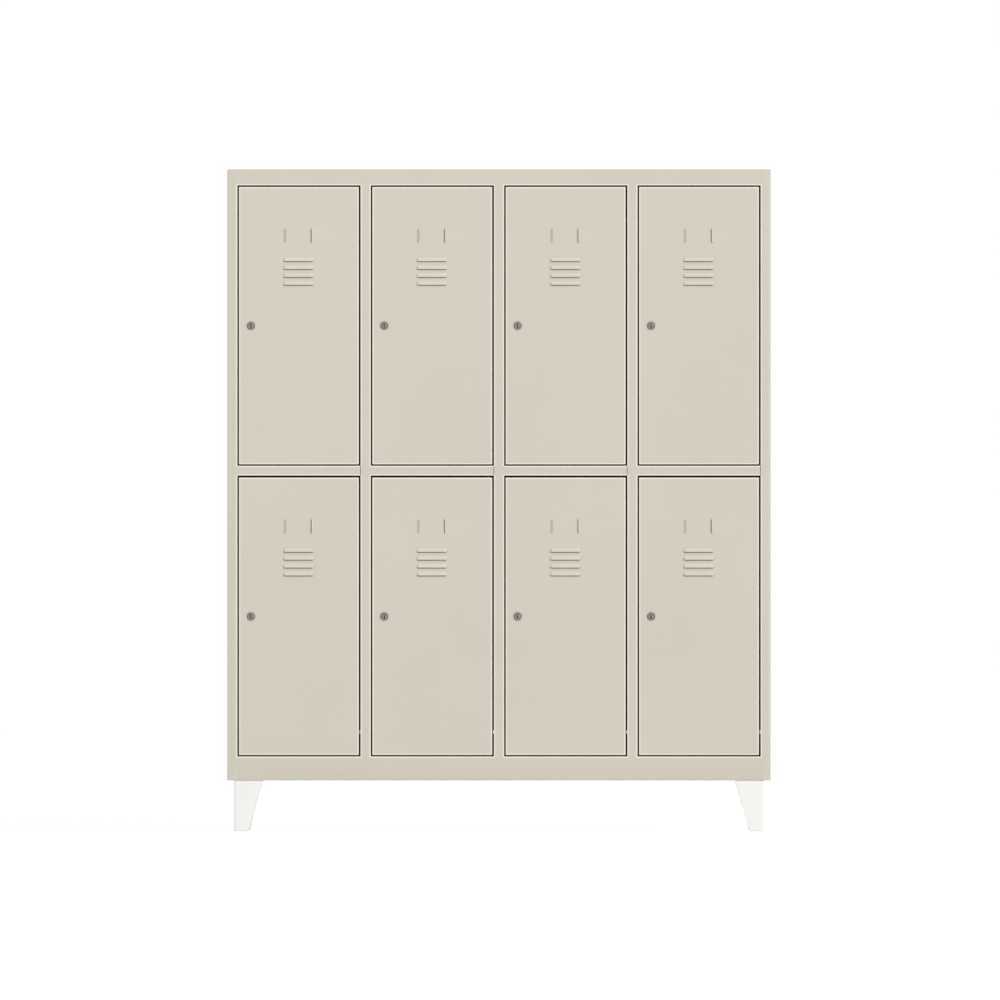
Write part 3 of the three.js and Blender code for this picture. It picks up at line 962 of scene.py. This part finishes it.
def glowing_floor():
    """A wide pale floor that shows as nearly white, and throws less light than it shows."""
    mesh = bpy.data.meshes.new("floor")
    half = 40.0
    corners = [(-half, -half, 0), (half, -half, 0), (half, half, 0), (-half, half, 0)]
    mesh.from_pydata(corners, [], [(0, 1, 2, 3)])
    obj = bpy.data.objects.new("floor", mesh)
    bpy.context.scene.collection.objects.link(obj)
    material, tree, bsdf = nodes_of("floor")
    bsdf.inputs["Base Color"].default_value = (0.3, 0.3, 0.3, 1.0)
    bsdf.inputs["Roughness"].default_value = 1.0
    bsdf.inputs["Specular IOR Level"].default_value = 0.0
    bsdf.inputs["Emission Color"].default_value = (1.0, 1.0, 1.0, 1.0)
    path = tree.nodes.new("ShaderNodeLightPath")
    glow = scaled(tree, path.outputs["Is Camera Ray"], 0.65, 0.23)
    tree.links.new(glow, bsdf.inputs["Emission Strength"])
    mesh.materials.append(material)


def sun(name, direction, strength, angle):
    light = bpy.data.lights.new(name, "SUN")
    light.energy = strength
    light.angle = math.radians(angle)
    obj = bpy.data.objects.new(name, light)
    obj.rotation_euler = Vector(direction).to_track_quat("-Z", "Y").to_euler()
    bpy.context.scene.collection.objects.link(obj)


def area_light(name, location, target, size, power):
    light = bpy.data.lights.new(name, "AREA")
    light.size = size
    light.energy = power
    obj = bpy.data.objects.new(name, light)
    obj.location = location
    obj.rotation_euler = (Vector(target) - Vector(location)).to_track_quat("-Z", "Y").to_euler()
    bpy.context.scene.collection.objects.link(obj)


def floor_bounce():
    """A wide, low light facing up, for what a bright studio floor sends up between the legs."""
    light = bpy.data.lights.new("floor_bounce", "AREA")
    light.shape = "RECTANGLE"
    light.size = (RIGHT - LEFT) * 0.94 * MM
    light.size_y = (BACK - FRONT) * 0.8 * MM
    light.energy = 2.6
    obj = bpy.data.objects.new("floor_bounce", light)
    obj.location = (0.0, 0.0, 0.006)
    obj.rotation_euler = (math.pi, 0.0, 0.0)
    obj.visible_camera = False
    bpy.context.scene.collection.objects.link(obj)


def world():
    made = bpy.data.worlds.new("studio")
    bpy.context.scene.world = made
    made.use_nodes = True
    tree = made.node_tree
    background = tree.nodes["Background"]
    background.inputs["Color"].default_value = (1.0, 1.0, 1.0, 1.0)
    path = tree.nodes.new("ShaderNodeLightPath")
    strength = scaled(tree, path.outputs["Is Camera Ray"], 0.64, 0.38)
    tree.links.new(strength, background.inputs["Strength"])


def camera():
    """A very long lens, level and square to the doors; width is what it frames at the front face."""
    focal, sensor, width = 1200.0, 36.0, 2.9447
    distance = focal * width / sensor
    data = bpy.data.cameras.new("camera")
    data.lens = focal
    data.sensor_width = sensor
    data.clip_end = 600.0
    obj = bpy.data.objects.new("camera", data)
    obj.location = (0.003, FRONT * MM - distance, 0.976)
    obj.rotation_euler = (math.radians(90), 0.0, 0.0)
    bpy.context.scene.collection.objects.link(obj)
    bpy.context.scene.camera = obj


glowing_floor()
world()
sun("key", (-0.48, 0.72, -0.5), 2.05, 16.0)
area_light("fill", (0.4, -4.2, 3.4), (0.0, 0.0, 1.4), 4.5, 28.0)
floor_bounce()
camera()
bpy.context.scene.view_settings.view_transform = "Standard"
